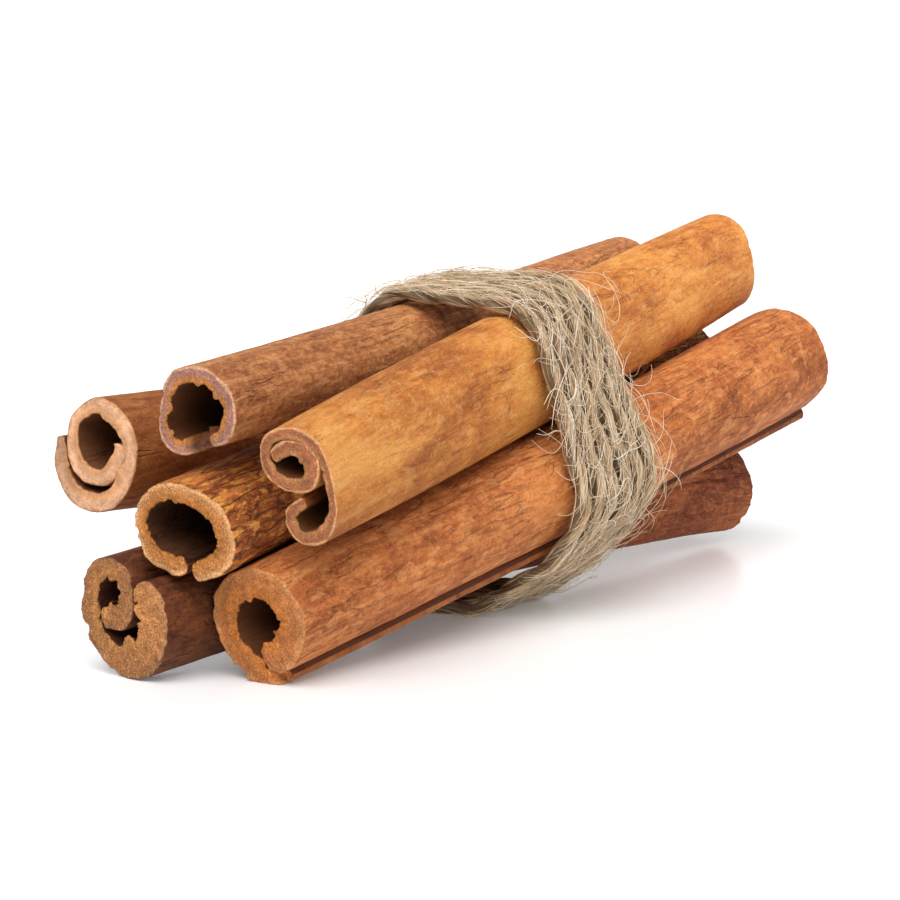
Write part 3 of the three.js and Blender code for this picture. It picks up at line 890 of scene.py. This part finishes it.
def cut_finish(finish, look, grain, deep, round_strip):
    """Colour and relief of a cut end: a pale rim, a ring and a crumbly inside, read off the
    depth in the bark. Lumps and broad noise make it uneven, and grit, a few dark pits and
    bright crumbs make it grainy. Painted light and shade change its brightness round the
    strip, and painted shade darkens it where it has broken back."""
    lump = finish.grainy(grain, (1.2, 1.2, 1.2), 4.0, 0.65, 0.4)
    broad = finish.grainy(grain, (0.45, 0.45, 0.45), 2.0)
    grit = finish.grainy(grain, (5.5, 5.5, 5.5), 3.0, 0.75, 0.3)
    layer = finish.sum(deep, finish.ramp(lump, 0.3, 0.7, -0.12, 0.12))
    rim, ring, crumb = look["rim"], look["ring"], look["crumb"]
    wide = look["rim_width"]
    cut = finish.tones(
        layer,
        (0.0, rim), (0.6 * wide, rim), (1.3 * wide, ring), (0.5, ring), (0.8, crumb), (1.0, crumb),
    )
    cut = finish.shaded(cut, finish.ramp(lump, 0.36, 0.64, 0.86, 1.12))
    # Painted light and shade: the cut's brightness changed between two places round the strip.
    cut = finish.shaded(cut, finish.ramp(round_strip, *look["face"]))
    cut = finish.shaded(cut, finish.ramp(broad, 0.38, 0.62, 0.86, 1.1))
    crumbly = look["grit"]
    rise = 0.28 * crumbly
    cut = finish.shaded(cut, finish.ramp(grit, 0.36, 0.64, 1 - rise, 1 + rise))
    cut = finish.mix(finish.ramp(grit, 0.37, 0.29, 0.0, 0.55 * crumbly), cut, look["dark"])
    cut = finish.mix(finish.ramp(grit, 0.60, 0.70, 0.0, 0.45 * crumbly), cut, BRIGHT_CRUMB)
    # Painted shade: the cut darkened where it has fallen back into a recess.
    cut = finish.mix(finish.ramp(finish.attribute("recess"), 0.25, 0.95, 0.0, 0.75), cut, look["bore_and_shade"])
    return cut, finish.sum(finish.times(lump, 1.1), finish.times(grit, 0.8))


def bark_finish(key):
    """Bark: the finish of the skin, and that of the cut where the surface is a cut end."""
    look = {**PLAIN, **LOOKS[key]}
    finish = Finish("bark_" + key, BARK_ROUGHNESS, BARK_GLOSS)
    grain = finish.attribute("grain", "Vector")
    deep = finish.attribute("deep")
    round_strip = finish.axis(grain, 0)
    skin, skin_height = skin_finish(finish, look, grain, deep, round_strip)
    cut, cut_height = cut_finish(finish, look, grain, deep, round_strip)
    is_cut = finish.attribute("cut")
    height = finish.sum(
        finish.times(skin_height, finish.sum(1.0, is_cut, "SUBTRACT")),
        finish.times(cut_height, is_cut),
    )
    return finish.done(finish.mix(is_cut, skin, cut), height, BARK_BUMP, 0.8)


def twine_finish():
    """Jute: pale and darker fibres laid along the plies, with painted shade in the grooves
    between them and on the flanks against the next turns.
    """
    finish = Finish("jute_twine", 0.85, 0.2)
    lay = finish.attribute("lay", "Vector")
    strand = finish.grainy(lay, (3.2, 3.2, 0.22), 4.0, 0.65, 0.4)
    hair = finish.grainy(lay, (11.0, 11.0, 0.7), 3.0, 0.7, 0.3)
    colour = finish.tones(strand, (0.36, "8c6b4a"), (0.5, "bd9d77"), (0.64, "e2caa7"))
    colour = finish.mix(finish.ramp(hair, 0.52, 0.66, 0.0, 0.6), colour, "f6e6cd")
    colour = finish.mix(finish.ramp(hair, 0.48, 0.34, 0.0, 0.6), colour, "76593a")
    # Painted shade: dark brown on the grooves and on the flanks against the next turns.
    colour = finish.mix(finish.ramp(finish.attribute("proud"), 0.5, 0.0, 0.0, 0.7), colour, "4e3822")
    return finish.done(colour, finish.sum(strand, hair), 0.0003, 0.9)


def fibre_finish():
    """A loose jute fibre, each a shade of its own."""
    finish = Finish("jute_fibre", 0.7, 0.3)
    shade = finish.attribute("shade")
    colour = finish.tones(shade, (0.0, "b39268"), (0.4, "dec4a0"), (1.0, "faedd8"))
    return finish.done(colour, shade, 0.00001, 0.1)


def paper_finish():
    """The smooth white board that the bundle lies on, faintly lit from underneath."""
    finish = Finish("white_board", 0.28, 0.35)
    finish.shader.inputs["Base Color"].default_value = (0.92, 0.93, 0.935, 1.0)
    finish.shader.inputs["Emission Color"].default_value = (1.0, 1.0, 1.0, 1.0)
    finish.shader.inputs["Emission Strength"].default_value = 0.08
    return finish.material


# ---------------------------------------------------------------- building

for order, stick_key in enumerate(STICKS):
    shape = bark_roll(stick_key, seed=100 + 17 * order)
    node_name = "stick_" + stick_key
    add_piece("bark_" + stick_key, *shape, bark_finish(stick_key), [node_name], LOOKS[stick_key]["slot"])

rope = twine_rope()
hair_finish = fibre_finish()
add_piece("twine_rope", *rope, twine_finish(), ["twine"], "jute")
add_piece("twine_lying_fibres", *lying_fibres(1500, seed=7), hair_finish, [], "jute")
low_strays = stray_fibres(1500, seed=8, reach=(2.0, 9.0), lift=(0.05, 0.5), loose=0.35, points=20)
add_piece("twine_low_strays", *low_strays, hair_finish, [], "jute")
high_strays = stray_fibres(130, seed=9, reach=(6.0, 14.0), lift=(0.4, 1.35), loose=0.5, points=30)
add_piece("twine_high_strays", *high_strays, hair_finish, [], "jute")

# ---------------------------------------------------------------- stage


def add_floor():
    """A round studio floor just under the bundle. Its profile runs level to 2.5 m, curves
    up through a quarter circle of 0.8 m, and is turned about the Z axis."""
    level, bend, sides = 2.5, 0.8, 96
    arc = np.linspace(0.0, np.pi / 2, 12)
    out = np.concatenate([[0.02, 0.3, 1.0], level + bend * np.sin(arc)])
    height = np.concatenate([[0.0, 0.0, 0.0], bend * (1.0 - np.cos(arc))]) - 0.00005
    turn = np.arange(sides) * 2 * np.pi / sides
    ring = np.stack([np.cos(turn), np.sin(turn), np.zeros(sides)], -1)
    points = out[:, None, None] * ring + height[:, None, None] * np.array([0.0, 0.0, 1.0])
    points = np.vstack([points.reshape(-1, 3), [(0.0, 0.0, height[0])]])
    number = np.arange(len(out) * sides).reshape(len(out), sides)
    around = np.roll(number, -1, axis=1)
    quads = np.stack([number[:-1], number[1:], around[1:], around[:-1]], -1).reshape(-1, 4)
    middle = np.stack([np.full(sides, len(points) - 1), number[0], around[0]], -1)
    mesh = bpy.data.meshes.new("floor")
    mesh.from_pydata(points.tolist(), [], quads.tolist() + middle.tolist())
    mesh.shade_smooth()
    mesh.materials.append(paper_finish())
    floor = bpy.data.objects.new("floor", mesh)
    bpy.context.scene.collection.objects.link(floor)


def add_sun(name, towards, height, strength, width):
    """A distant soft light, seen in the level direction `towards` at a height in degrees.
    width is how wide it looks, in degrees."""
    data = bpy.data.lights.new(name, "SUN")
    data.energy = strength
    data.angle = math.radians(width)
    lamp = bpy.data.objects.new(name, data)
    turn = math.atan2(towards[1], towards[0])
    lamp.rotation_euler = (0.0, math.radians(90 - height), turn)
    bpy.context.scene.collection.objects.link(lamp)


def add_camera():
    """The camera, level from side to side, looking along the bundle from in front."""
    data = bpy.data.cameras.new("camera")
    data.lens = 120.0
    data.sensor_width = 36.0
    data.clip_start = 0.01
    camera = bpy.data.objects.new("camera", data)
    camera.location = (-0.2675, -0.1731, 0.0625)
    aim = np.array([0.8266, 0.5437, -0.1453])
    camera.rotation_euler = (
        math.pi / 2 + math.atan2(aim[2], math.hypot(aim[0], aim[1])),
        0.0,
        math.atan2(-aim[0], aim[1]),
    )
    bpy.context.scene.collection.objects.link(camera)
    bpy.context.scene.camera = camera


add_floor()
add_sun("key", (-0.90, -0.43), 57, 3.1, 55)
add_sun("right", (-0.35, -0.94), 17, 0.8, 50)
add_camera()

world = bpy.data.worlds.new("studio")
world.use_nodes = True
world.node_tree.nodes["Background"].inputs["Color"].default_value = (1.0, 1.0, 1.0, 1.0)
world.node_tree.nodes["Background"].inputs["Strength"].default_value = 0.4
bpy.context.scene.world = world
bpy.context.scene.view_settings.view_transform = "Standard"
